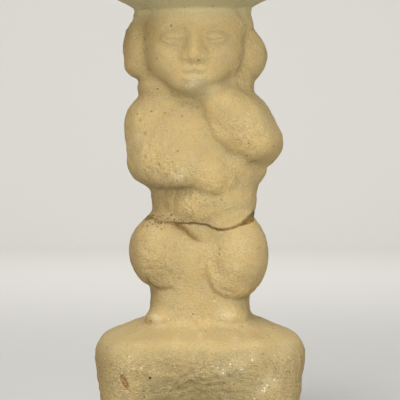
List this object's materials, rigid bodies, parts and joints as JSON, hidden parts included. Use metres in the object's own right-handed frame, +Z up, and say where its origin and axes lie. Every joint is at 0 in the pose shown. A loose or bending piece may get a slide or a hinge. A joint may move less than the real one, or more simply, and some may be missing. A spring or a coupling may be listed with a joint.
{
  "type": "mushroom stone",
  "caption": "Carved effigy stone: a round mushroom cap over a seated figure against the stem, on a square base cut into legs by arches; stands on its feet.",
  "frame": {"origin": "on the floor, under the middle of the cap, which is the middle of the part's bounding box", "axes": "+Z up, +X to the viewer's right as the figure faces the viewer, and the figure faces -Y"},
  "size_m": [0.1458, 0.1458, 0.344],
  "materials": {
    "stone": "soft volcanic stone, pecked and rubbed smooth, matt and finely pitted"
  },
  "bodies": {
    "root": {"mushroom_stone": "stone"}
  },
  "joints": []
}
